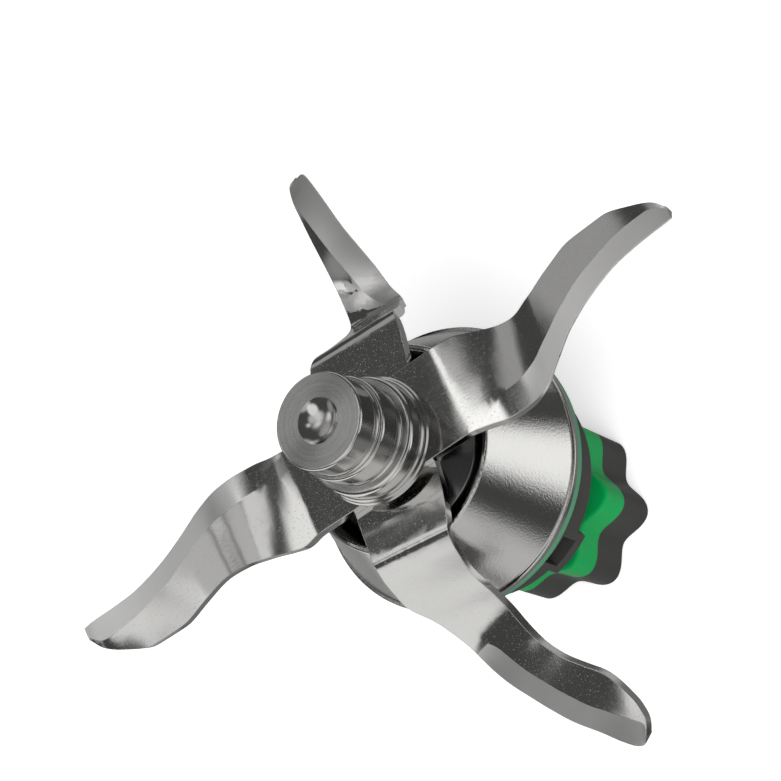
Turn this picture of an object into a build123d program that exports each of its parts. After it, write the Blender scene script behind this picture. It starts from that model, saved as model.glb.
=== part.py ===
from build123d import *
from math import cos, pi, sqrt
import os

# Blade unit of a heated food mixer, standing upright on its drive star. +Z runs up the shaft
# to the cap nut, z = 0 is the underside of the star and X lies along the upper blade strip.
# Lengths are in millimetres.

# Levels along the shaft
RIM_Z = 47.5             # lower edge of the steel skirt's rim
FLOOR_UP = 13.2          # underside of the skirt's sunk floor, above the rim
BLADE_UP = 24.9          # top face of the upper strip, above the rim

# Blade strips
SHEET = 1.8              # sheet thickness
STATION_STEP = 1.3       # spacing of the sections that an arm is lofted through
LOWER_TURN = 82.25       # angle from the upper strip to the lower strip

# Shaft
SHAFT_R = 4.0
FLAT = 3.2               # half width across the two flats, and radius of the thread
SHAFT_LOW = 2.0
SHAFT_BREAK = 0.4

# Washers and cap nut
WIDE_R = 11.1
WIDE_T = 1.0
SPRING_R = 10.7
SPRING_T = 0.9
WASHER_BREAK = 0.25
RING_R = 10.3
RING_H = 3.2
WAIST_R = 8.3
WAIST_H = 1.9
BULGE_R = 8.9
BULGE_H = 4.4
GROOVE_R = 7.9
GROOVE_H = 1.8
NOSE_R = 8.27
NOSE_H = 4.1
END_WALL = 4.4           # metal left over the thread
DIMPLE_R = 3.95
DIMPLE_DEEP = 1.5

# Steel skirt
SKIRT_WALL = 1.2
CONE_OUT = 3.9           # foot of the cone, past the carrier's wall
RIM_OUT = 0.6            # rim, past the foot of the cone
CROWN_R = 18.4           # top of the cone
CROWN_UP = 18.9
CROWN_LAND = 0.9
DISH_R = 15.6            # sunk floor
EYE_R = 9.2              # hole in the floor

# Green gasket under the rim
GASKET_IN = 0.3          # band of the gasket, inside the rim
GASKET_FOOT_IN = 0.2     # foot of the gasket, inside its band
GASKET_T = 2.6
GASKET_BAND = 0.9

# Moulded carrier
BODY_R = 21.4
BODY_WALL = 2.6
BODY_DROP = 14.4         # lower edge, below the rim
NECK_IN = 0.5            # neck that the gasket sits on, inside the wall
LEDGE_OUT = 1.2          # ledge round the neck, past the wall
LEDGE_T = 0.5
WEB_DROP = 5.6
WEB_UP = 1.0
TUBE_WALL = 2.2
TUBE_SET = 3.9           # tube's lower end, above the sleeve's
TUBE_UP = 6.0
SPIGOT_UP = 9.0
SPIGOT_WALL = 1.6
SKIRT_FIT = 0.25
WINDOWS = 3
WINDOW_W = 5.8
WINDOW_H = 4.9
WINDOW_TURN = -68
TAB_W = 8.6              # tab that the window reaches into, below the wall
TAB_DROP = 3.0
TAB_SILL = 2.2           # what is left of the tab under the window
RIBS = 6
RIB_T = 1.6
RIB_UP = 1.5
RIB_BITE = 0.5

# Ball bearings, 8 x 22 x 7
BEARING_R = 11.0
BEARING_W = 7.0
RACE_WALL = 2.1          # races, at their lips
BALL_R = 1.98
BALLS = 7
CAGE_WALL = 1.3
CAGE_H = 5.4

# Sleeve and what holds the bearings in it
SLEEVE_WALL = 2.0
SLEEVE_LIP = 1.0
OUTER_SPACER_WALL = 1.4
INNER_SPACER_WALL = 1.6
CLIP_T = 1.0
CLIP_SET = 1.3           # bore clip's lower face, above the sleeve's end
CLIP_GAP = 3.0
BORE_GROOVE = 0.6
BORE_CLIP_WALL = 2.2
SHAFT_GROOVE = 0.4
SHAFT_CLIP_WALL = 2.2

# Shaft seal
SEAL_H = 7.2
SEAL_SHELL = 1.6
SEAL_FLOOR = 2.4
WEAR_R = 5.2             # wear sleeve on the shaft
LIP_UP = 4.0
LIP_T = 1.0
GARTER_R = 0.5
GARTER_ROOM = 0.7        # between the garter spring and the shell
GARTER_UP = 2.6

# Flinger
FLING_ROOM = 0.5         # round the flinger, in the skirt's dish
FLING_RIM = 1.6
FLING_GAP = 0.6
FLING_NECK_R = 10.2
FLING_NECK_DROP = 2.0
BOSS_R = 8.8

# Drive star
LOBES = 7
LOBE_POINTS = 8          # points of the outline for each lobe
STAR_R = 15.5
STAR_WAVE = 1.68
STAR_TURN = -30
STAR_H = 11.0
COLLAR_H = 7.3
STAR_GAP = 1.3
STAR_BREAK = 0.5
COLLAR_ROUND = 0.9
POCKET_R = 8.0
POCKET_DEEP = 5.0
NUT_R = 6.5
NUT_H = 3.4

# Clearances
RUN = 0.05               # between turning and standing pieces
EASE = 0.02              # between pieces that are fitted together
PLAY = 0.1

# Corner roundings
CRISP = 0.25
SOFT = 0.4
ROUND = 0.8

# Worked out from the sizes above
TOP_Z = RIM_Z + BLADE_UP
UPPER_Z = TOP_Z - SHEET
LOWER_Z = UPPER_Z - SHEET
SPRING_Z = TOP_Z + WIDE_T
CAP_Z = SPRING_Z + SPRING_T
WAIST_Z = CAP_Z + RING_H
BULGE_Z = WAIST_Z + WAIST_H
GROOVE_Z = BULGE_Z + BULGE_H
NOSE_Z = GROOVE_Z + GROOVE_H
CAP_TOP = NOSE_Z + NOSE_H
THREAD_END = CAP_TOP - END_WALL
FLOOR_Z = RIM_Z + FLOOR_UP
DISH_Z = FLOOR_Z + SKIRT_WALL
CROWN_Z = RIM_Z + CROWN_UP
FLING_Z = DISH_Z + FLING_GAP
FLING_R = DISH_R - FLING_ROOM
STAR_TOP = STAR_H + COLLAR_H
NECK_R = BODY_R - NECK_IN
LEDGE_R = BODY_R + LEDGE_OUT
CONE_R = BODY_R + CONE_OUT
RIM_R = CONE_R + RIM_OUT
GASKET_Z = RIM_Z - GASKET_T
PITCH_R = (BEARING_R + SHAFT_R) / 2
GARTER_MID_R = BEARING_R - SEAL_SHELL - GARTER_ROOM - GARTER_R
SLEEVE_LOW = STAR_TOP + STAR_GAP
SLEEVE_R = BEARING_R + SLEEVE_WALL
SLEEVE_END = FLOOR_Z - SLEEVE_LIP
SEAL_Z = SLEEVE_END - SEAL_H
HIGH_BEARING = SEAL_Z - BEARING_W
CLIP_Z = SLEEVE_LOW + CLIP_SET
LOW_BEARING = CLIP_Z + CLIP_T + PLAY
SPACER_Z = LOW_BEARING + BEARING_W
BASE = (Align.CENTER, Align.CENTER, Align.MIN)

# Arm stations: leading edge (s, w, z), trailing edge (s, w, z), place of the ground crease
# across the chord, height of the crease over the chord and thickness of the leading edge, both
# as shares of the sheet. s runs out along the arm, w across it to the trailing side, z up from
# the strip's top face.
UPPER_ARM = [
    ((12.5, -8.6, 0), (12.5, 8.6, 0), 0.05, 0, 1),
    ((16, -8.6, 0), (16, 8.6, 0), 0.05, 0, 1),
    ((19.6, -9.1, -0.4), (19.6, 8.8, -0.8), 0.08, 0.05, 1),
    ((24, -10.1, -0.7), (24, 7.5, -1.7), 0.25, 0.2, 0.9),
    ((28, -10.3, -0.4), (28, 6.1, -2), 0.29, 0.3, 0.65),
    ((31.6, -9.7, 0.4), (31.6, 5.4, -1.2), 0.32, 0.38, 0.4),
    ((35.6, -7.7, 1.7), (35.6, 5.9, 0.5), 0.32, 0.4, 0.2),
    ((40.9, -4.4, 2.8), (40.9, 7.7, 1.4), 0.33, 0.4, 0.12),
    ((47.2, -1.6, 3.5), (47.2, 9.6, 1.7), 0.35, 0.4, 0.12),
    ((53.4, 0, 4.1), (53.4, 9.7, 2), 0.4, 0.4, 0.12),
    ((58.7, 0.4, 4.6), (58.7, 7.8, 2.7), 0.54, 0.35, 0.12),
    ((62.3, 0.5, 4.8), (62.3, 5.6, 3.5), 0.7, 0.2, 0.12),
    ((64.2, 0.7, 4.7), (64.2, 3.2, 4.1), 0.7, 0.1, 0.12),
]
LEVEL_ROOT = [
    ((12.5, -9.4, 0), (12.5, 9.6, 0), 0.10, 0, 1),
    ((17.6, -9.6, 0), (17.6, 9.5, 0), 0.10, 0, 1),
    ((20.4, -9.4, -0.1), (19.2, 9.1, -0.1), 0.10, 0, 1),
    ((22.2, -8.9, -1.3), (20.9, 8.4, -1.3), 0.10, 0, 1),
    ((23.4, -8.2, -3.6), (22.3, 7.6, -3.6), 0.10, 0, 1),
    ((26.1, -6.9, -8.2), (25.1, 6.6, -8), 0.10, 0, 1),
    ((29.7, -4.7, -13.6), (28.1, 6.5, -12.5), 0.14, 0, 0.9),
]
LEVEL_TIP = [
    ((33.5, -2.3, -19.8), (30.8, 6.9, -15.1), 0.30, 0.1, 0.6),
    ((35.9, -1.5, -17.8), (35.1, 7.7, -16.1), 0.47, 0.35, 0.25),
    ((38.5, -1.2, -15.6), (39.7, 8.7, -16.9), 0.52, 0.4, 0.12),
    ((43.1, 0.1, -13.7), (44.8, 9.5, -16.5), 0.59, 0.4, 0.12),
    ((48.8, 1.9, -12.1), (50.1, 10.3, -15.8), 0.67, 0.35, 0.12),
    ((53.3, 3, -11), (55, 10.9, -15.1), 0.79, 0.3, 0.12),
    ((57.3, 4, -9.9), (58.7, 11.2, -14.3), 0.9, 0.15, 0.12),
    ((60, 4.9, -9.3), (60.6, 10.9, -13.6), 0.94, 0.08, 0.12),
    ((60.8, 6, -9.8), (61.3, 10.4, -12.9), 0.94, 0.08, 0.12),
    ((61.3, 7.4, -10.6), (61.5, 9.7, -12.2), 0.94, 0.08, 0.12),
]
DROOP_ROOT = [
    ((12.5, -8, 0), (12.5, 8.9, 0), 0.10, 0, 1),
    ((17.6, -7.6, 0), (17.6, 8.1, 0), 0.10, 0, 1),
    ((19.4, -7.5, -0.2), (19.2, 7.6, -0.2), 0.10, 0, 1),
    ((20.6, -7.7, -1.6), (20.4, 7, -1.6), 0.10, 0, 1),
    ((21.9, -8.2, -3.8), (21.7, 6.4, -3.6), 0.10, 0, 1),
    ((25.1, -8.4, -8.6), (25.2, 5.7, -8.4), 0.10, 0, 1),
    ((29, -5.7, -14.1), (28.1, 6.3, -12.5), 0.14, 0, 1),
]
DROOP_TIP = [
    ((33.3, -4.1, -20.1), (30.8, 6.9, -15.3), 0.25, 0.1, 0.7),
    ((37, -2.5, -21.7), (33.7, 7.6, -17.1), 0.42, 0.3, 0.3),
    ((41, 0, -22.2), (37.6, 9.2, -19.1), 0.45, 0.4, 0.12),
    ((44.4, 2.7, -22.9), (40.9, 11.7, -19.8), 0.45, 0.4, 0.12),
    ((47.5, 5.3, -23.4), (43.6, 14.7, -19.9), 0.43, 0.4, 0.12),
    ((50.9, 8.5, -23.8), (46.5, 18.1, -20.1), 0.42, 0.4, 0.12),
    ((54.6, 13, -23.9), (50.1, 20.3, -21), 0.5, 0.35, 0.12),
    ((57.8, 16.7, -24), (53.8, 21.6, -22.1), 0.69, 0.2, 0.12),
    ((58.9, 18.4, -24), (55.6, 21.7, -22.5), 0.84, 0.1, 0.12),
    ((59.1, 19.4, -24), (57, 21.2, -22.9), 0.9, 0.08, 0.12),
    ((58.9, 20, -23.8), (57.9, 20.7, -23.3), 0.9, 0.08, 0.12),
]

os.makedirs("parts", exist_ok=True)


def turn(points):
    """A full turn about Z of a closed (radius, height) outline; a third number rounds its corner."""
    face = make_face(Polyline(*[(p[0], p[1]) for p in points], close=True))
    for point in points:
        if len(point) == 3:
            corner = face.vertices().sort_by_distance((point[0], point[1], 0))[0]
            face = fillet(corner, point[2])
    return revolve(Plane.XZ * face, axis=Axis.Z)


def disc(r, z0, z1):
    return Pos(0, 0, z0) * Cylinder(r, z1 - z0, align=BASE)


def tube(r_out, r_in, z0, z1):
    return disc(r_out, z0, z1) - disc(r_in, z0, z1)


def flatted(r, z0, z1):
    """A round bar with two flats."""
    return disc(r, z0, z1) & (Pos(0, 0, z0) * Box(4 * r, 2 * FLAT, z1 - z0, align=BASE))


def washer(r, z0, z1):
    """A washer with its upper rim broken."""
    ring = tube(r, SHAFT_R, z0, z1)
    return chamfer(ring.edges().group_by(Axis.Z)[-1].sort_by(SortBy.RADIUS)[-1], WASHER_BREAK)


def around(count, first, piece):
    """Copies of a piece, evenly spaced about the shaft."""
    return [Rot(0, 0, first + 360 / count * k) * piece for k in range(count)]


def flat_row(station):
    lead, trail, crease, rise, edge = station
    return [*lead, *trail, crease, rise, edge]


def refined(stations):
    """Closer stations, on monotone cubics through the given ones so that no bend overshoots."""
    rows = [flat_row(station) for station in stations]
    gap = []
    for a, b in zip(rows, rows[1:]):
        gap.append(sqrt(sum(((b[i] + b[i + 3] - a[i] - a[i + 3]) / 2) ** 2 for i in range(3))))
    slopes = []
    for column in range(len(rows[0])):
        rate = [(b[column] - a[column]) / g for a, b, g in zip(rows, rows[1:], gap)]
        slope = [rate[0]]
        for i in range(1, len(gap)):
            near = 2 * gap[i] + gap[i - 1]
            far = gap[i] + 2 * gap[i - 1]
            turns_back = rate[i - 1] * rate[i] <= 0
            slope.append(0.0 if turns_back else (near + far) / (near / rate[i - 1] + far / rate[i]))
        slopes.append(slope + [rate[-1]])
    out = []
    for i, (a, b) in enumerate(zip(rows, rows[1:])):
        pieces = max(1, round(gap[i] / STATION_STEP))
        for k in range(pieces):
            t = k / pieces
            to_b = 3 * t ** 2 - 2 * t ** 3
            out_of_a = (t ** 3 - 2 * t ** 2 + t) * gap[i]
            into_b = (t ** 3 - t ** 2) * gap[i]
            out.append([
                (1 - to_b) * a[c] + to_b * b[c] + out_of_a * slopes[c][i] + into_b * slopes[c][i + 1]
                for c in range(len(a))
            ])
    out.append(rows[-1])
    return out


def section(row, before, after):
    """Cross-section of an arm; the rows before and after it give the arm's direction."""
    lead = Vector(*row[0:3])
    trail = Vector(*row[3:6])
    along = Vector(*after[0:3]) + Vector(*after[3:6]) - Vector(*before[0:3]) - Vector(*before[3:6])
    up = along.cross(trail - lead).normalized()
    crease = lead + (trail - lead) * row[6] + up * (row[7] * SHEET)
    return Wire.make_polygon([lead, crease, trail, trail - up * SHEET, lead - up * (row[8] * SHEET)])


def arm(stations):
    rows = refined(stations)
    last = len(rows) - 1
    wires = [section(row, rows[max(i - 1, 0)], rows[min(i + 1, last)]) for i, row in enumerate(rows)]
    return Solid.make_loft(wires)


def strip(one_side, other_side, top, angle):
    """A bent strip: a flat hub with the shaft's two-flat hole, and an arm to each side."""
    corners = [Vector(*one_side[0][0]), Vector(*one_side[0][1])]
    corners += [Vector(*corner).rotate(Axis.Z, 180) for corner in other_side[0][0:2]]
    body = extrude(make_face(Polyline(*corners, close=True)), SHEET, dir=(0, 0, -1))
    body += arm(one_side)
    body += Rot(0, 0, 180) * arm(other_side)
    return Pos(0, 0, top) * Rot(0, 0, angle) * body - flatted(SHAFT_R, top - 2 * SHEET, top + SHEET)


def shaft_bar():
    """Flats in the star, a round middle, flats under blades and washers, and the thread."""
    bar = flatted(SHAFT_R, SHAFT_LOW, STAR_H) + disc(SHAFT_R, STAR_H, LOWER_Z)
    bar += flatted(SHAFT_R, LOWER_Z, CAP_Z)
    bar += disc(FLAT, CAP_Z, THREAD_END - PLAY)
    bar = chamfer(bar.edges().group_by(Axis.Z)[-1], SHAFT_BREAK)
    return bar - tube(2 * SHAFT_R, SHAFT_R - SHAFT_GROOVE, CLIP_Z - EASE, CLIP_Z + CLIP_T + EASE)


def cap():
    """Cap nut, turned from one bar, with a round dimple in its end."""
    body = turn([
        (FLAT, CAP_Z), (RING_R, CAP_Z, SOFT), (RING_R, WAIST_Z, ROUND),
        (WAIST_R, WAIST_Z, SOFT), (WAIST_R, BULGE_Z, CRISP),
        (BULGE_R, BULGE_Z, CRISP), (BULGE_R, GROOVE_Z, SOFT),
        (GROOVE_R, GROOVE_Z, SOFT), (GROOVE_R, NOSE_Z, CRISP / 2),
        (NOSE_R, NOSE_Z, CRISP / 2), (NOSE_R, CAP_TOP, SOFT),
        (0, CAP_TOP), (0, THREAD_END), (FLAT, THREAD_END),
    ])
    ball = (DIMPLE_R ** 2 + DIMPLE_DEEP ** 2) / (2 * DIMPLE_DEEP)
    return body - Pos(0, 0, CAP_TOP - DIMPLE_DEEP + ball) * Sphere(ball)


def skirt_inner(z):
    """Inner radius of the skirt's cone."""
    outer = CONE_R + (CROWN_R - CONE_R) * (z - RIM_Z - SKIRT_WALL) / (CROWN_UP - SKIRT_WALL)
    slant = sqrt((CONE_R - CROWN_R) ** 2 + (CROWN_UP - SKIRT_WALL) ** 2) / (CROWN_UP - SKIRT_WALL)
    return outer - SKIRT_WALL * slant


def skirt_shell():
    """Pressed steel: flat rim, cone, rolled crown and sunk floor with a hole."""
    crown_under = CROWN_Z - 1.5 * SKIRT_WALL
    return turn([
        (RIM_R, RIM_Z), (RIM_R, RIM_Z + SKIRT_WALL, CRISP),
        (CONE_R, RIM_Z + SKIRT_WALL, CRISP),
        (CROWN_R, CROWN_Z, SOFT), (CROWN_R - CROWN_LAND, CROWN_Z, SOFT),
        (DISH_R, DISH_Z, ROUND), (EYE_R, DISH_Z), (EYE_R, FLOOR_Z),
        (DISH_R + SKIRT_WALL / 2, FLOOR_Z, ROUND),
        (skirt_inner(crown_under), crown_under), (skirt_inner(RIM_Z), RIM_Z),
    ])


def gasket():
    """Rubber ring on the carrier's neck, cut back inside so that its foot ends flush with the ledge."""
    out = RIM_R - GASKET_IN
    return turn([
        (NECK_R, GASKET_Z + LEDGE_T), (LEDGE_R + EASE, GASKET_Z + LEDGE_T), (LEDGE_R + EASE, GASKET_Z),
        (out - GASKET_FOOT_IN, GASKET_Z, SOFT), (out, RIM_Z - GASKET_BAND, SOFT),
        (out, RIM_Z), (NECK_R, RIM_Z),
    ])


def moulding():
    """Carrier: outer wall with tabs and locking windows, ledge, web, tube round the sleeve and ribs."""
    neck = SLEEVE_LOW + TUBE_SET
    low = RIM_Z - BODY_DROP
    under_web = RIM_Z - WEB_DROP
    web = RIM_Z + WEB_UP
    top = RIM_Z + SPIGOT_UP
    tube_r = SLEEVE_R + TUBE_WALL
    wall_r = BODY_R - BODY_WALL
    body = turn([
        (SLEEVE_R, neck), (tube_r, neck), (tube_r, under_web), (wall_r, under_web), (wall_r, low),
        (BODY_R, low, SOFT), (BODY_R, GASKET_Z), (LEDGE_R, GASKET_Z),
        (LEDGE_R, GASKET_Z + LEDGE_T), (NECK_R, GASKET_Z + LEDGE_T), (NECK_R, RIM_Z),
        (skirt_inner(RIM_Z) - SKIRT_FIT, RIM_Z), (skirt_inner(top) - SKIRT_FIT, top),
        (skirt_inner(top) - SKIRT_FIT - SPIGOT_WALL, top),
        (skirt_inner(web) - SKIRT_FIT - SPIGOT_WALL, web), (tube_r, web),
        (tube_r, RIM_Z + TUBE_UP), (SLEEVE_R, RIM_Z + TUBE_UP),
    ])
    rib_l = wall_r - tube_r + 2 * RIB_BITE
    rib = Box(rib_l, RIB_T, under_web - low - RIB_UP, align=BASE)
    body += around(RIBS, WINDOW_TURN + 180 / RIBS, Pos((wall_r + tube_r) / 2, 0, low + RIB_UP) * rib)
    tab_low = low - TAB_DROP
    tab = Pos(BODY_R, 0, tab_low) * Box(4 * BODY_WALL, TAB_W, TAB_DROP + ROUND, align=BASE)
    body += [piece & tube(BODY_R, wall_r, tab_low, low + ROUND) for piece in around(WINDOWS, WINDOW_TURN, tab)]
    window = Pos(BODY_R, 0, tab_low + TAB_SILL) * Box(4 * BODY_WALL, WINDOW_W, WINDOW_H, align=BASE)
    return body - around(WINDOWS, WINDOW_TURN, window)


def sleeve_tube():
    """Steel sleeve for both bearings and the shaft seal, turned in under the skirt's floor."""
    body = turn([
        (BEARING_R, SLEEVE_LOW), (SLEEVE_R, SLEEVE_LOW, CRISP), (SLEEVE_R, FLOOR_Z),
        (EYE_R, FLOOR_Z), (EYE_R, SLEEVE_END), (BEARING_R, SLEEVE_END),
    ])
    groove_r = BEARING_R + BORE_GROOVE
    return body - tube(groove_r, BEARING_R - 1, CLIP_Z - EASE, CLIP_Z + CLIP_T + EASE)


def bearing(z):
    """Outer race, inner race, balls and cage of one ball bearing."""
    mid = z + BEARING_W / 2
    outer = tube(BEARING_R, BEARING_R - RACE_WALL, z, z + BEARING_W)
    outer -= Pos(0, 0, mid) * Torus(PITCH_R, BALL_R + EASE)
    inner = tube(SHAFT_R + RACE_WALL, SHAFT_R, z, z + BEARING_W)
    inner -= Pos(0, 0, mid) * Torus(PITCH_R, BALL_R + RUN)
    balls = Compound(children=around(BALLS, 0, Pos(PITCH_R, 0, mid) * Sphere(BALL_R)))
    half = CAGE_WALL / 2
    cage = tube(PITCH_R + half, PITCH_R - half, mid - CAGE_H / 2, mid + CAGE_H / 2)
    pocket = Pos(PITCH_R, 0, mid) * Rot(0, 90, 0) * Cylinder(BALL_R + RUN, 4 * CAGE_WALL)
    return outer, inner, balls, cage - around(BALLS, 0, pocket)


def clip(r_out, r_in, angle):
    """A split retaining ring."""
    gap = Pos((r_out + r_in) / 2, 0, CLIP_Z) * Box(2 * (r_out - r_in), CLIP_GAP, CLIP_T, align=BASE)
    return tube(r_out, r_in, CLIP_Z, CLIP_Z + CLIP_T) - Rot(0, 0, angle) * gap


def lip_seal():
    """Rubber shaft seal: shell, floor and one lip that runs on the wear sleeve."""
    shell_r = BEARING_R - SEAL_SHELL
    lip_r = WEAR_R + RUN
    floor_z = SEAL_Z + SEAL_H - SEAL_FLOOR
    lip_z = SEAL_Z + LIP_UP
    spring_r = GARTER_MID_R - GARTER_R
    return turn([
        (shell_r, SEAL_Z), (BEARING_R, SEAL_Z), (BEARING_R, SLEEVE_END),
        (spring_r, SLEEVE_END), (lip_r + LIP_T / 2, SLEEVE_END - SEAL_FLOOR / 2),
        (lip_r, lip_z + 2 * RUN + GARTER_R), (lip_r, lip_z), (lip_r + LIP_T, SEAL_Z + SEAL_SHELL),
        (spring_r, SEAL_Z + SEAL_SHELL), (spring_r, floor_z), (shell_r, floor_z),
    ])


def flinger_disc():
    """Dark flinger that turns in the skirt's dish and carries the blade strips on its boss."""
    return turn([
        (SHAFT_R, FLING_Z), (FLING_R, FLING_Z, SOFT), (FLING_R, FLING_Z + FLING_RIM, ROUND),
        (FLING_NECK_R, LOWER_Z - FLING_NECK_DROP, 2 * ROUND), (BOSS_R, LOWER_Z), (SHAFT_R, LOWER_Z),
    ])


def star_face():
    """The lobed outline that both layers of the drive star share."""
    points = []
    for k in range(LOBES * LOBE_POINTS):
        angle = 2 * pi * k / (LOBES * LOBE_POINTS)
        reach = STAR_R + STAR_WAVE * cos(LOBES * angle)
        points.append(Vector(reach, 0, 0).rotate(Axis.Z, angle * 180 / pi + STAR_TURN))
    return make_face(Spline(*points, periodic=True))


def star_lower():
    body = extrude(star_face(), STAR_H)
    body = chamfer(body.edges().group_by(Axis.Z)[0], STAR_BREAK)
    return body - disc(POCKET_R, 0, POCKET_DEEP) - flatted(SHAFT_R, POCKET_DEEP, STAR_H)


def star_upper():
    body = Pos(0, 0, STAR_H) * extrude(star_face(), COLLAR_H)
    body = fillet(body.edges().group_by(Axis.Z)[-1], COLLAR_ROUND)
    return body - disc(SHAFT_R, STAR_H, STAR_TOP)


def hex_nut(z0, z1):
    return Pos(0, 0, z0) * extrude(RegularPolygon(NUT_R, 6), z1 - z0) - flatted(SHAFT_R, z0, z1)


low_outer, low_inner, low_ball_set, low_cage = bearing(LOW_BEARING)
high_outer, high_inner, high_ball_set, high_cage = bearing(HIGH_BEARING)
NODES = {
    "upper_blades": strip(UPPER_ARM, UPPER_ARM, TOP_Z, 0),
    "lower_blades": strip(LEVEL_ROOT + LEVEL_TIP, DROOP_ROOT + DROOP_TIP, UPPER_Z, LOWER_TURN),
    "cap_nut": cap(),
    "spring_washer": washer(SPRING_R, SPRING_Z, CAP_Z),
    "wide_washer": washer(WIDE_R, TOP_Z, SPRING_Z),
    "shaft": shaft_bar(),
    "flinger": flinger_disc(),
    "skirt": skirt_shell(),
    "seal_ring": gasket(),
    "carrier": moulding(),
    "sleeve": sleeve_tube(),
    "low_outer_race": low_outer,
    "low_inner_race": low_inner,
    "low_balls": low_ball_set,
    "low_cage": low_cage,
    "high_outer_race": high_outer,
    "high_inner_race": high_inner,
    "high_balls": high_ball_set,
    "high_cage": high_cage,
    "outer_spacer": tube(BEARING_R, BEARING_R - OUTER_SPACER_WALL, SPACER_Z, HIGH_BEARING),
    "inner_spacer": tube(SHAFT_R + INNER_SPACER_WALL, SHAFT_R, SPACER_Z, HIGH_BEARING),
    "bore_clip": clip(BEARING_R + BORE_GROOVE - RUN, BEARING_R + BORE_GROOVE - BORE_CLIP_WALL, 90),
    "shaft_clip": clip(SHAFT_R - SHAFT_GROOVE + SHAFT_CLIP_WALL, SHAFT_R - SHAFT_GROOVE, -90),
    "wear_sleeve": tube(WEAR_R, SHAFT_R, SEAL_Z, FLING_Z),
    "shaft_seal": lip_seal(),
    "garter_spring": Pos(0, 0, SEAL_Z + GARTER_UP) * Torus(GARTER_MID_R, GARTER_R),
    "star_coupling": star_lower(),
    "star_collar": star_upper(),
    "drive_nut": hex_nut(POCKET_DEEP - NUT_H, POCKET_DEEP),
}
for name, shape in NODES.items():
    export_step(shape, f"parts/{name}.step")
    box = shape.bounding_box()
    volume = sum(solid.volume for solid in shape.solids())
    print(name, len(shape.solids()), round(volume, 1), [round(v, 2) for v in (*box.min, *box.max)])
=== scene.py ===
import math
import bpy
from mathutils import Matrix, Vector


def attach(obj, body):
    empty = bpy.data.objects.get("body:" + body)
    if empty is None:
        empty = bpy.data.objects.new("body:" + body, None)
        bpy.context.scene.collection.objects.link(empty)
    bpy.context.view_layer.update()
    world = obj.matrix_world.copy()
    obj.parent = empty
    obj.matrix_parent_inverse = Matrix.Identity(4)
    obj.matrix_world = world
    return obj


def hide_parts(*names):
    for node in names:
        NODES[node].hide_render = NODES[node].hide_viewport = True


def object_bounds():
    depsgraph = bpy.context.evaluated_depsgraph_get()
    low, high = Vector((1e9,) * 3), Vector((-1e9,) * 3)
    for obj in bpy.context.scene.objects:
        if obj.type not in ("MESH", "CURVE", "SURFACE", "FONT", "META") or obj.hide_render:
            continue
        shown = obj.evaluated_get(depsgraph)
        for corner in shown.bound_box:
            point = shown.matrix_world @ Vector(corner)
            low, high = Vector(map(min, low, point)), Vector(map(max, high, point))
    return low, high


bl_info = {
    "name": "Blade Unit",
    "version": (1, 0, 0),
    "blender": (4, 5, 0),
    "location": "View3D > Sidebar > Blade Unit",
    "description": "Finishes a food mixer's blade unit and lights it on a pale floor",
    "category": "Object",
}

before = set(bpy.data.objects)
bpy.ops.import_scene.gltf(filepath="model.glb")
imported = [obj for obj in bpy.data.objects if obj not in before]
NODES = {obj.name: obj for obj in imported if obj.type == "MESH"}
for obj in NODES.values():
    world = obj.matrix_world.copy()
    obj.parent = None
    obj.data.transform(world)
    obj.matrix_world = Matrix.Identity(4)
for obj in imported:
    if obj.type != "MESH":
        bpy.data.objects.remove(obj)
CAD_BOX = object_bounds()

import bmesh
import bpy
from bpy.props import FloatProperty, FloatVectorProperty, PointerProperty
from mathutils import Matrix, Vector

MM = 0.001

LOWER_TURN = math.radians(82.25)    # lower strip, from the upper one
STRIPS = (
    ("upper_blades", "upper_strip", 0.0),
    ("lower_blades", "lower_strip", LOWER_TURN),
)
CREASE_ANGLE = math.radians(7)      # least angle of a ground crease
SHEET_ANGLE = math.radians(40)      # least angle of the sheet's own edges
CROSSING = 0.6                      # least part of an edge's direction across the arm, if it crosses the arm
FACING_UP = 0.2                     # least upward part of the normal of a bevel's face
CREASE_FROM = 24 * MM               # from the shaft, where the ground bevels may start
BENDS_END = 31 * MM                 # from the shaft, where the last bend near the hub ends
WELD = 0.002 * MM                   # corners of the CAD mesh closer than this become one
EDGE_STEPS = 2                      # facets of a broken edge

GROUND_REACH = (25, 33)             # mm from the shaft, between which the bevels turn from tumbled to ground
SCRATCH_TURN = math.radians(50)     # direction of the grinding scratches, from the strip's own
TUMBLED = 0.18                      # mm over which an edge's shine turns from one face to the next
RUBBED = 0.3                        # mm that an edge of plastic or rubber is rounded and rubbed over
ROUNDING_SAMPLES = 6

WHITE = (1, 1, 1, 1)
WORLD_FILL = 0.075      # brightness of the room between its lights
LIGHT_EDGE = 4          # degrees over which a light fades, to each side of its edge
LAMP_PLACE = Vector((0.12, -0.36, 0.62))
LAMP_SIZE = 0.5
LAMP_POWER = 4.4
FLOOR_SIZE = 4.0
FLOOR_GAP = 0.2 * MM    # between the drive star and the floor
FLOOR_WHITE = 0.95
PAGE_LEVEL = 0.4        # brightness that the camera sees in the floor besides the light on it

CAMERA_PLACE = Vector((132.70, -154.03, 368.06)) * MM
CAMERA_RIGHT = Vector((0.77067, -0.36128, -0.52492))
CAMERA_UP = Vector((0.53165, 0.81867, 0.21709))
CAMERA_LENS = 97.81
CAMERA_SENSOR = 36

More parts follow.
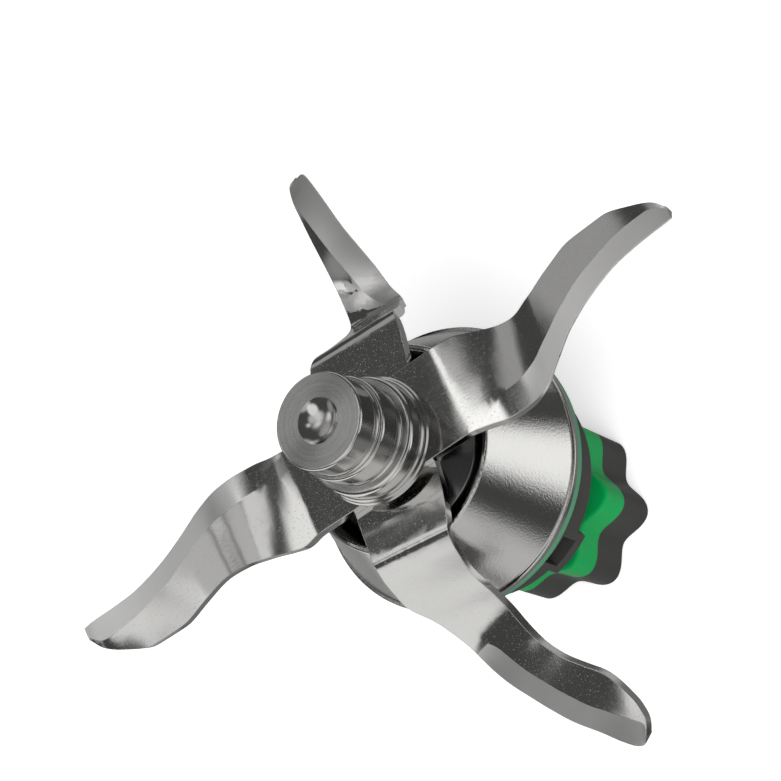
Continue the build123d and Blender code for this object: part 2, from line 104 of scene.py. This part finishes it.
# The studio's soft lights, as the steel shows them: turn from +X, height and half width in
# degrees, and brightness.
LIGHTS = (
    ("overhead", -11, 88, 13, 0.60),
    ("overhead strip", 29, 66, 5, 0.80),
    ("high left", 164, 67, 13, 0.85),
    ("high front", -120, 62, 17, 0.95),
    ("high back strip", 112, 66, 6, 1.60),
    ("high back", 84, 66, 5, 0.70),
    ("back", 117, 31, 17, 0.38),
    ("back left", 150, 34, 9, 1.15),
    ("left", 168, 16, 11, 0.28),
    ("front left", -148, -16, 32, 0.98),
    ("front", -83, 22, 33, 0.50),
    ("front strip", -85, 3, 12, 0.50),
    ("front, low", -88, -27, 17, 0.60),
    ("right", -24, 17, 22, 0.66),
    ("right, low", -20, -28, 20, 1.30),
    ("right back, low", 59, -8, 30, 0.45),
    ("back right strip", 86, 5, 10, 0.38),
    ("floor, front", -103, -54, 28, 0.15),
    ("floor, right", 35, -63, 30, 0.15),
    ("floor, back", 140, -51, 32, 0.25),
)


class Link:
    """A shader socket that can stand in Python arithmetic."""

    def __init__(self, shade, socket):
        self.shade = shade
        self.socket = socket

    def math(self, operation, other):
        return self.shade.node("ShaderNodeMath", {"operation": operation}, {0: self, 1: other})

    def __add__(self, other):
        return self.math("ADD", other)

    __radd__ = __add__

    def __sub__(self, other):
        return self.math("SUBTRACT", other)

    def __mul__(self, other):
        return self.math("MULTIPLY", other)

    def ramp(self, low, high, start=0.0, end=1.0):
        """Goes smoothly from start to end as the value goes from low to high."""
        settings = {"interpolation_type": "SMOOTHSTEP"}
        inputs = {"Value": self, "From Min": low, "From Max": high, "To Min": start, "To Max": end}
        return self.shade.node("ShaderNodeMapRange", settings, inputs)


class Shade:
    """A node tree under construction. Every node but the output is added by node()."""

    def __init__(self, tree):
        self.tree = tree
        tree.nodes.clear()

    def node(self, kind, settings=None, inputs=None, out=0):
        made = self.tree.nodes.new(kind)
        for name, value in (settings or {}).items():
            setattr(made, name, value)
        for name, value in (inputs or {}).items():
            if isinstance(value, Link):
                self.tree.links.new(value.socket, made.inputs[name])
            else:
                made.inputs[name].default_value = value
        return Link(self, made.outputs[out])

    def place(self, turn=0.0, stretch=(1, 1, 1)):
        """Object coordinates in millimetres, turned about the shaft and stretched."""
        where = self.node("ShaderNodeTexCoord", out="Object")
        scale = [s / MM for s in stretch]
        turned = self.node("ShaderNodeMapping", None, {"Vector": where, "Rotation": (0, 0, -turn)})
        return self.node("ShaderNodeMapping", None, {"Vector": turned, "Scale": scale})

    def noise(self, vector, scale, detail=2.0, rough=0.5):
        inputs = {"Vector": vector, "Scale": scale, "Detail": detail, "Roughness": rough}
        return self.node("ShaderNodeTexNoise", None, inputs)

    def radius(self, vector):
        """Distance from the shaft."""
        flat = self.node("ShaderNodeVectorMath", {"operation": "MULTIPLY"}, {0: vector, 1: (1, 1, 0)})
        return self.node("ShaderNodeVectorMath", {"operation": "LENGTH"}, {0: flat}, "Value")

    def height(self, vector):
        return self.node("ShaderNodeSeparateXYZ", None, {0: vector}, "Z")

    def rings(self, vector, scale):
        """Noise that runs round the shaft."""
        section = {"X": self.radius(vector), "Y": self.height(vector)}
        return self.noise(self.node("ShaderNodeCombineXYZ", None, section), scale, rough=0.7)

    def tone(self, factor, dark, light):
        """A colour between two, by factor. Each is a link or three numbers."""
        dark, light = (c if isinstance(c, Link) else (*c, 1) for c in (dark, light))
        return self.node("ShaderNodeMix", {"data_type": "RGBA"}, {0: factor, 6: dark, 7: light}, 2)

    def bump(self, height, depth, below=None):
        """Bump of a height given in shares of depth, in millimetres."""
        inputs = {"Height": height, "Distance": depth * MM, "Strength": 1.0}
        if below is not None:
            inputs["Normal"] = below
        return self.node("ShaderNodeBump", None, inputs)

    def rounded(self, radius):
        """Normal of the surface with its edges rounded, in millimetres."""
        return self.node("ShaderNodeBevel", {"samples": ROUNDING_SAMPLES}, {"Radius": radius * MM})

    def edge(self, radius):
        """1 along edges, 0 on the faces between them."""
        both = {0: self.node("ShaderNodeNewGeometry", out="Normal"), 1: self.rounded(radius)}
        likeness = self.node("ShaderNodeVectorMath", {"operation": "DOT_PRODUCT"}, both, "Value")
        return likeness.ramp(0.98, 0.85)

    def surface(self, **inputs):
        named = {name.replace("_", " "): value for name, value in inputs.items()}
        self.finish(self.node("ShaderNodeBsdfPrincipled", None, named))

    def finish(self, shader, kind="ShaderNodeOutputMaterial"):
        made = self.tree.nodes.new(kind)
        self.tree.links.new(shader.socket, made.inputs["Surface"])


def material(name):
    made = bpy.data.materials.new(name)
    made.use_nodes = True
    return made, Shade(made.node_tree)


def shaded(colour, share):
    """A darker copy of a colour."""
    return [c * share for c in colour]


def blade_steel(name, turn, look, ground=None):
    """Tumbled blade steel: rolling streaks along the strip, clouds and fine bright pits.

    With ground, it turns into the satin of the bevels away from the hub, scratched by the grinding wheel."""
    made, s = material(name)
    where = s.place()
    grain = s.noise(where, 2.4, detail=3.0, rough=0.6)
    pits = s.noise(where, 4.5, detail=1.0).ramp(0.69, 0.78)
    streaks = s.noise(s.place(turn, (0.2, 4, 4)), 1.0, detail=3.0, rough=0.6)
    cloud = s.noise(where, 0.06)
    rough = look.roughness + (streaks - 0.5) * 0.08 + (cloud - 0.5) * 0.06 + pits * 0.08
    colour = s.tone(cloud * 0.6 + streaks * 0.4, shaded(look.colour, 0.92), look.colour)
    normal = s.bump(grain * 0.25 + pits, 0.012, s.rounded(TUMBLED))
    normal = s.bump(streaks, 0.003, normal)
    if ground:
        reach = s.radius(where).ramp(*GROUND_REACH)
        scratches = s.noise(s.place(turn + SCRATCH_TURN, (0.3, 6, 1)), 1.0, rough=0.6)
        satin = ground.roughness + (scratches - 0.5) * 0.14 + (cloud - 0.5) * 0.06
        rough = rough + reach * (satin - rough)
        colour = s.tone(reach, colour, ground.colour)
        normal = s.bump(scratches * reach, 0.006, normal)
    s.surface(Base_Color=colour, Metallic=1.0, Roughness=rough, Normal=normal)
    return made


def turned_steel(name, look, sheen=0.0, face=0.0):
    """Lathe-turned steel: sheen spreads the light outwards, and face dulls the flat tops."""
    made, s = material(name)
    where = s.place()
    rings = s.rings(where, 4.0)
    grain = s.noise(where, 2.0)
    cloud = s.noise(where, 0.25)
    level = s.height(s.node("ShaderNodeNewGeometry", out="Normal")).ramp(0.9, 0.99)
    rough = look.roughness + level * face + (rings - 0.5) * 0.12 + (cloud - 0.5) * 0.06
    colour = s.tone(rings * 0.5 + cloud * 0.5, shaded(look.colour, 0.94), look.colour)
    normal = s.bump(rings, 0.0015, s.bump(grain, 0.001))
    s.surface(Base_Color=colour, Metallic=1.0, Roughness=rough, Normal=normal, Anisotropic=sheen,
              Anisotropic_Rotation=0.25)
    return made


def drawn_steel(name, look, peel=0.03):
    """Pressed sheet with a fine orange-peel speckle and drawing marks round the shaft."""
    made, s = material(name)
    where = s.place()
    grain = s.noise(where, 2.6, detail=3.0, rough=0.7)
    cloud = s.noise(where, 0.12)
    marks = s.rings(where, 3.0)
    rough = look.roughness + (cloud - 0.5) * 0.06 + (marks - 0.5) * 0.06
    colour = s.tone(cloud, shaded(look.colour, 0.93), look.colour)
    s.surface(Base_Color=colour, Metallic=1.0, Roughness=rough, Normal=s.bump(grain, peel))
    return made


def moulded(name, look):
    """Moulded plastic or rubber: fine grain, slight flow clouds, duller patches and paler rubbed edges."""
    made, s = material(name)
    where = s.place()
    grain = s.noise(where, 0.625, detail=3.0, rough=0.6)
    cloud = s.noise(where, 0.08)
    rubbed = s.edge(RUBBED) * s.noise(where, 0.5, detail=3.0).ramp(0.3, 0.6, 0.4)
    rough = look.roughness + (cloud - 0.5) * 0.12 + (grain - 0.5) * 0.08
    plain = s.tone(cloud * 0.7 + grain * 0.3, shaded(look.colour, 0.86), look.colour)
    pale = [min(1.0, c * 1.25 + 0.02) for c in look.colour]
    normal = s.bump(grain, 0.01, s.rounded(RUBBED))
    s.surface(Base_Color=s.tone(rubbed, plain, pale), Roughness=rough, Specular_IOR_Level=0.25, Normal=normal)
    return made


def dress(names, made):
    for name in names:
        slots = NODES[name].data.materials
        slots.clear()
        slots.append(made)


def strip_side(point):
    """1 for the arm on the strip's +X side, -1 for the other."""
    return 1 if point.x > 0 else -1


def mark_edges(shape, to_strip):
    """Marks the sheet's own edges and the creases that run along an arm, but not the facets of a bend.

    Gives the creases on top of each arm, as distance from the shaft and place across, of both ends."""
    weight = shape.edges.layers.float.new("bevel_weight_edge")
    creases = {1: [], -1: []}
    for edge in shape.edges:
        bend = edge.calc_face_angle(0.0)
        start, end = (to_strip @ v.co for v in edge.verts)
        out = abs(start.x + end.x) / 2
        crosses = abs((end - start).normalized().y) > CROSSING and out < BENDS_END
        crease = CREASE_ANGLE < bend < SHEET_ANGLE and not crosses
        marked = crease or bend >= SHEET_ANGLE
        edge.smooth = not marked
        edge[weight] = 1.0 if marked else 0.0
        on_top = sum(face.normal.z for face in edge.link_faces) > 0
        if crease and on_top and out > CREASE_FROM:
            side = strip_side(start)
            creases[side].append(sorted((abs(v.x), side * v.y) for v in (start, end)))
    return creases


def mark_bevels(shape, to_strip, creases):
    """Gives the second material to the top faces between a crease and the arm's cutting edge."""
    for face in shape.faces:
        middle = to_strip @ face.calc_center_median()
        side = strip_side(middle)
        out = abs(middle.x)
        beside = [low + (high - low) * (out - near) / (far - near)
                  for (near, low), (far, high) in creases[side] if near <= out <= far and near < far]
        if beside and face.normal.z > FACING_UP and side * middle.y < max(beside):
            face.material_index = 1


def eased_strip(node, name, wide, turn, finishes):
    """A copy of a CAD strip with its edges broken and its bevels ground, shown in the node's stead."""
    piece = bpy.data.objects.new(name, NODES[node].data.copy())
    bpy.context.scene.collection.objects.link(piece)
    bpy.ops.object.select_all(action="DESELECT")
    bpy.context.view_layer.objects.active = piece
    piece.select_set(True)
    bpy.ops.object.mode_set(mode="EDIT")
    bpy.ops.mesh.select_all(action="SELECT")
    bpy.ops.mesh.customdata_custom_splitnormals_clear()
    bpy.ops.mesh.remove_doubles(threshold=WELD)
    bpy.ops.object.mode_set(mode="OBJECT")
    piece.data.materials.clear()
    for finish in finishes:
        piece.data.materials.append(finish)
    bpy.ops.object.shade_smooth()
    shape = bmesh.new()
    shape.from_mesh(piece.data)
    to_strip = Matrix.Rotation(-turn, 3, "Z")
    mark_bevels(shape, to_strip, mark_edges(shape, to_strip))
    shape.to_mesh(piece.data)
    shape.free()
    ease = piece.modifiers.new("Eased edges", "BEVEL")
    ease.limit_method = "WEIGHT"
    ease.width = wide
    ease.segments = EDGE_STEPS
    ease.harden_normals = True
    bpy.ops.object.modifier_apply(modifier=ease.name)
    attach(piece, "blade_rotor")
    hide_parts(node)


class SteelLook(bpy.types.PropertyGroup):
    """Colour and roughness of one steel finish."""

    colour: FloatVectorProperty(name="Colour", description="Reflected colour", subtype="COLOR",
                                default=(0.62, 0.615, 0.60), min=0, max=1)
    roughness: FloatProperty(name="Roughness", description="0 is a mirror", default=0.2, min=0, max=1)


class MouldedLook(bpy.types.PropertyGroup):
    """Colour and roughness of one plastic or rubber."""

    colour: FloatVectorProperty(name="Colour", description="Diffuse colour", subtype="COLOR",
                                default=(0.045, 0.045, 0.042), min=0, max=1)
    roughness: FloatProperty(name="Roughness", description="0 is a gloss", default=0.45, min=0, max=1)


class UnitLooks(bpy.types.PropertyGroup):
    """Every size and finish that a user would change."""

    edge: FloatProperty(name="Edge break", description="Width of the broken blade edges", default=0.00012,
                        unit="LENGTH", min=0)
    blade: PointerProperty(type=SteelLook, name="Blades", description="Tumbled blade steel")
    ground: PointerProperty(type=SteelLook, name="Bevels", description="Ground bevels of the blades")
    turned: PointerProperty(type=SteelLook, name="Turned", description="Cap nut, washers, sleeve and shaft")
    skirt: PointerProperty(type=SteelLook, name="Skirt", description="Pressed steel skirt")
    bearing: PointerProperty(type=SteelLook, name="Bearings", description="Ground bearing steel")
    green: PointerProperty(type=MouldedLook, name="Green", description="Upper layer of the drive star")
    gasket: PointerProperty(type=MouldedLook, name="Gasket", description="Gasket under the skirt")
    dark: PointerProperty(type=MouldedLook, name="Dark", description="Carrier and lower layer of the star")
    # The flinger's steel colour is set darker than the other steel's: painted shade of the skirt's dish it
    # sits in.
    flinger: PointerProperty(type=SteelLook, name="Flinger", description="Steel flinger, darker for painted shade")
    rubber: PointerProperty(type=MouldedLook, name="Rubber", description="Shaft seal")


class BLADEUNIT_OT_strips(bpy.types.Operator):
    """Ground blade strips, with eased edges"""

    bl_idname = "bladeunit.strips"
    bl_label = "Blade Strips"

    def execute(self, context):
        looks = context.scene.blade_unit
        for node, name, turn in STRIPS:
            tumbled = blade_steel(name + "_steel", turn, looks.blade)
            bevels = blade_steel(name + "_bevels", turn, looks.blade, looks.ground)
            eased_strip(node, name, looks.edge, turn, (tumbled, bevels))
        return {"FINISHED"}


class BLADEUNIT_OT_cap_stack(bpy.types.Operator):
    """Cap nut, washers and shaft"""

    bl_idname = "bladeunit.cap_stack"
    bl_label = "Cap Nut and Washers"

    def execute(self, context):
        looks = context.scene.blade_unit
        dress(("cap_nut",), turned_steel("cap_steel", looks.turned, sheen=0.5, face=0.14))
        dress(("wide_washer", "spring_washer", "shaft"), turned_steel("turned_steel", looks.turned))
        return {"FINISHED"}


class BLADEUNIT_OT_skirt(bpy.types.Operator):
    """Pressed steel skirt and the flinger in its dish"""

    bl_idname = "bladeunit.skirt"
    bl_label = "Skirt and Flinger"

    def execute(self, context):
        looks = context.scene.blade_unit
        dress(("skirt",), drawn_steel("skirt_steel", looks.skirt))
        # The flinger's darker steel colour is painted shade of the dish.
        dress(("flinger",), drawn_steel("flinger_steel", looks.flinger, peel=0.004))
        return {"FINISHED"}


class BLADEUNIT_OT_base(bpy.types.Operator):
    """Gasket, moulded carrier and drive star"""

    bl_idname = "bladeunit.base"
    bl_label = "Gasket, Carrier and Star"

    def execute(self, context):
        looks = context.scene.blade_unit
        dress(("seal_ring",), moulded("gasket_rubber", looks.gasket))
        dress(("carrier", "star_coupling"), moulded("dark_plastic", looks.dark))
        dress(("star_collar",), moulded("green_plastic", looks.green))
        return {"FINISHED"}


class BLADEUNIT_OT_inside(bpy.types.Operator):
    """Sleeve, bearings, spacers, clips, seal and drive nut"""

    bl_idname = "bladeunit.inside"
    bl_label = "Inside Pieces"

    def execute(self, context):
        looks = context.scene.blade_unit
        dress(("sleeve", "wear_sleeve", "drive_nut"), turned_steel("sleeve_steel", looks.turned))
        bearings = [f"{level}_{piece}" for level in ("low", "high")
                    for piece in ("outer_race", "inner_race", "balls", "cage")]
        rings = ["outer_spacer", "inner_spacer", "bore_clip", "shaft_clip", "garter_spring"]
        dress(bearings + rings, turned_steel("bearing_steel", looks.bearing))
        dress(("shaft_seal",), moulded("seal_rubber", looks.rubber))
        return {"FINISHED"}


def light_room():
    """The surroundings: white to the camera, and a dim room with soft lights to all else."""
    world = bpy.data.worlds.new("Studio")
    bpy.context.scene.world = world
    world.use_nodes = True
    s = Shade(world.node_tree)
    way = s.node("ShaderNodeTexCoord", out="Generated")
    level = WORLD_FILL
    for name, turn, up, half, strength in LIGHTS:
        azimuth = math.radians(turn)
        climb = math.radians(up)
        axis = (math.cos(azimuth) * math.cos(climb), math.sin(azimuth) * math.cos(climb), math.sin(climb))
        settings = {"operation": "DOT_PRODUCT", "label": name}
        facing = s.node("ShaderNodeVectorMath", settings, {0: way, 1: axis}, "Value")
        fade = min(LIGHT_EDGE, half - 1)
        dark_from = math.cos(math.radians(half + fade))
        full_from = math.cos(math.radians(half - fade))
        level = facing.ramp(dark_from, full_from) * strength + level
    to_camera = s.node("ShaderNodeLightPath", out="Is Camera Ray")
    room = s.node("ShaderNodeBackground", {"label": "Room"}, {"Color": WHITE, "Strength": level})
    page = s.node("ShaderNodeBackground", {"label": "Page"}, {"Color": WHITE, "Strength": 1.0})
    s.finish(s.node("ShaderNodeMixShader", None, {0: to_camera, 1: room, 2: page}), "ShaderNodeOutputWorld")


def hang_lamp():
    """A broad lamp on the camera's side, which the steel doesn't mirror."""
    bpy.ops.object.light_add(type="AREA", location=LAMP_PLACE)
    lamp = bpy.context.object
    lamp.name = "soft_lamp"
    lamp.data.shape = "DISK"
    lamp.data.size = LAMP_SIZE
    lamp.data.energy = LAMP_POWER
    lamp.rotation_euler = LAMP_PLACE.to_track_quat("Z", "Y").to_euler()
    lamp.visible_glossy = False


def lay_floor():
    """A pale floor under the drive star. The camera sees it a little brighter than it is lit."""
    bpy.ops.object.select_all(action="DESELECT")
    bpy.ops.mesh.primitive_plane_add(size=FLOOR_SIZE, location=(0, 0, CAD_BOX[0].z - FLOOR_GAP))
    floor = bpy.context.object
    floor.name = "floor"
    made, s = material("floor_paper")
    lit = s.node("ShaderNodeBsdfDiffuse", None, {"Color": (FLOOR_WHITE, FLOOR_WHITE, FLOOR_WHITE, 1)})
    page = s.node("ShaderNodeEmission", None, {"Color": WHITE, "Strength": PAGE_LEVEL})
    bright = s.node("ShaderNodeAddShader", None, {0: lit, 1: page})
    to_camera = s.node("ShaderNodeLightPath", out="Is Camera Ray")
    s.finish(s.node("ShaderNodeMixShader", None, {0: to_camera, 1: lit, 2: bright}))
    floor.data.materials.append(made)
    floor.visible_glossy = False


def set_camera():
    """The photograph's view: from above the cap nut's side, rolled so that the shaft lies over."""
    back = CAMERA_RIGHT.cross(CAMERA_UP)
    turn = Matrix((CAMERA_RIGHT, CAMERA_UP, back)).transposed()
    bpy.ops.object.camera_add(location=CAMERA_PLACE, rotation=turn.to_euler())
    camera = bpy.context.object
    camera.data.sensor_width = CAMERA_SENSOR
    camera.data.lens = CAMERA_LENS
    bpy.context.scene.camera = camera


class BLADEUNIT_OT_stage(bpy.types.Operator):
    """Floor, surroundings and camera"""

    bl_idname = "bladeunit.stage"
    bl_label = "Stage"

    def execute(self, context):
        context.scene.view_settings.view_transform = "Standard"
        set_camera()
        light_room()
        hang_lamp()
        lay_floor()
        return {"FINISHED"}


class BLADEUNIT_PT_panel(bpy.types.Panel):
    """Lists the pieces of the unit and the stage"""

    bl_idname = "BLADEUNIT_PT_panel"
    bl_label = "Blade Unit"
    bl_space_type = "VIEW_3D"
    bl_region_type = "UI"
    bl_category = "Blade Unit"

    def draw(self, context):
        looks = context.scene.blade_unit
        self.layout.prop(looks, "edge")
        for step in STEPS:
            self.layout.operator(step.bl_idname)


STEPS = (
    BLADEUNIT_OT_stage,
    BLADEUNIT_OT_strips,
    BLADEUNIT_OT_cap_stack,
    BLADEUNIT_OT_skirt,
    BLADEUNIT_OT_base,
    BLADEUNIT_OT_inside,
)
CLASSES = (SteelLook, MouldedLook, UnitLooks, *STEPS, BLADEUNIT_PT_panel)


def register():
    for cls in CLASSES:
        bpy.utils.register_class(cls)
    bpy.types.Scene.blade_unit = PointerProperty(type=UnitLooks)


def unregister():
    del bpy.types.Scene.blade_unit
    for cls in reversed(CLASSES):
        bpy.utils.unregister_class(cls)


def set_finishes():
    """The finishes that differ from their group's defaults."""
    looks = bpy.context.scene.blade_unit
    looks.blade.roughness = 0.11
    looks.ground.colour = (0.82, 0.815, 0.80)
    looks.ground.roughness = 0.40
    looks.turned.roughness = 0.13
    looks.skirt.roughness = 0.13
    looks.bearing.roughness = 0.2
    looks.green.colour = (0.001, 0.36, 0.082)
    looks.green.roughness = 0.4
    looks.gasket.colour = (0.072, 0.262, 0.141)
    looks.gasket.roughness = 0.6
    # Painted shade: the flinger's steel gets a darker colour that stands in for the shade in the skirt's
    # dish.
    looks.flinger.colour = (0.30, 0.30, 0.30)
    looks.flinger.roughness = 0.16
    looks.rubber.colour = (0.02, 0.02, 0.02)


def main():
    register()
    set_finishes()
    bpy.ops.bladeunit.stage()
    bpy.ops.bladeunit.strips()
    bpy.ops.bladeunit.cap_stack()
    bpy.ops.bladeunit.skirt()
    bpy.ops.bladeunit.base()
    bpy.ops.bladeunit.inside()


if __name__ == "__main__":
    main()
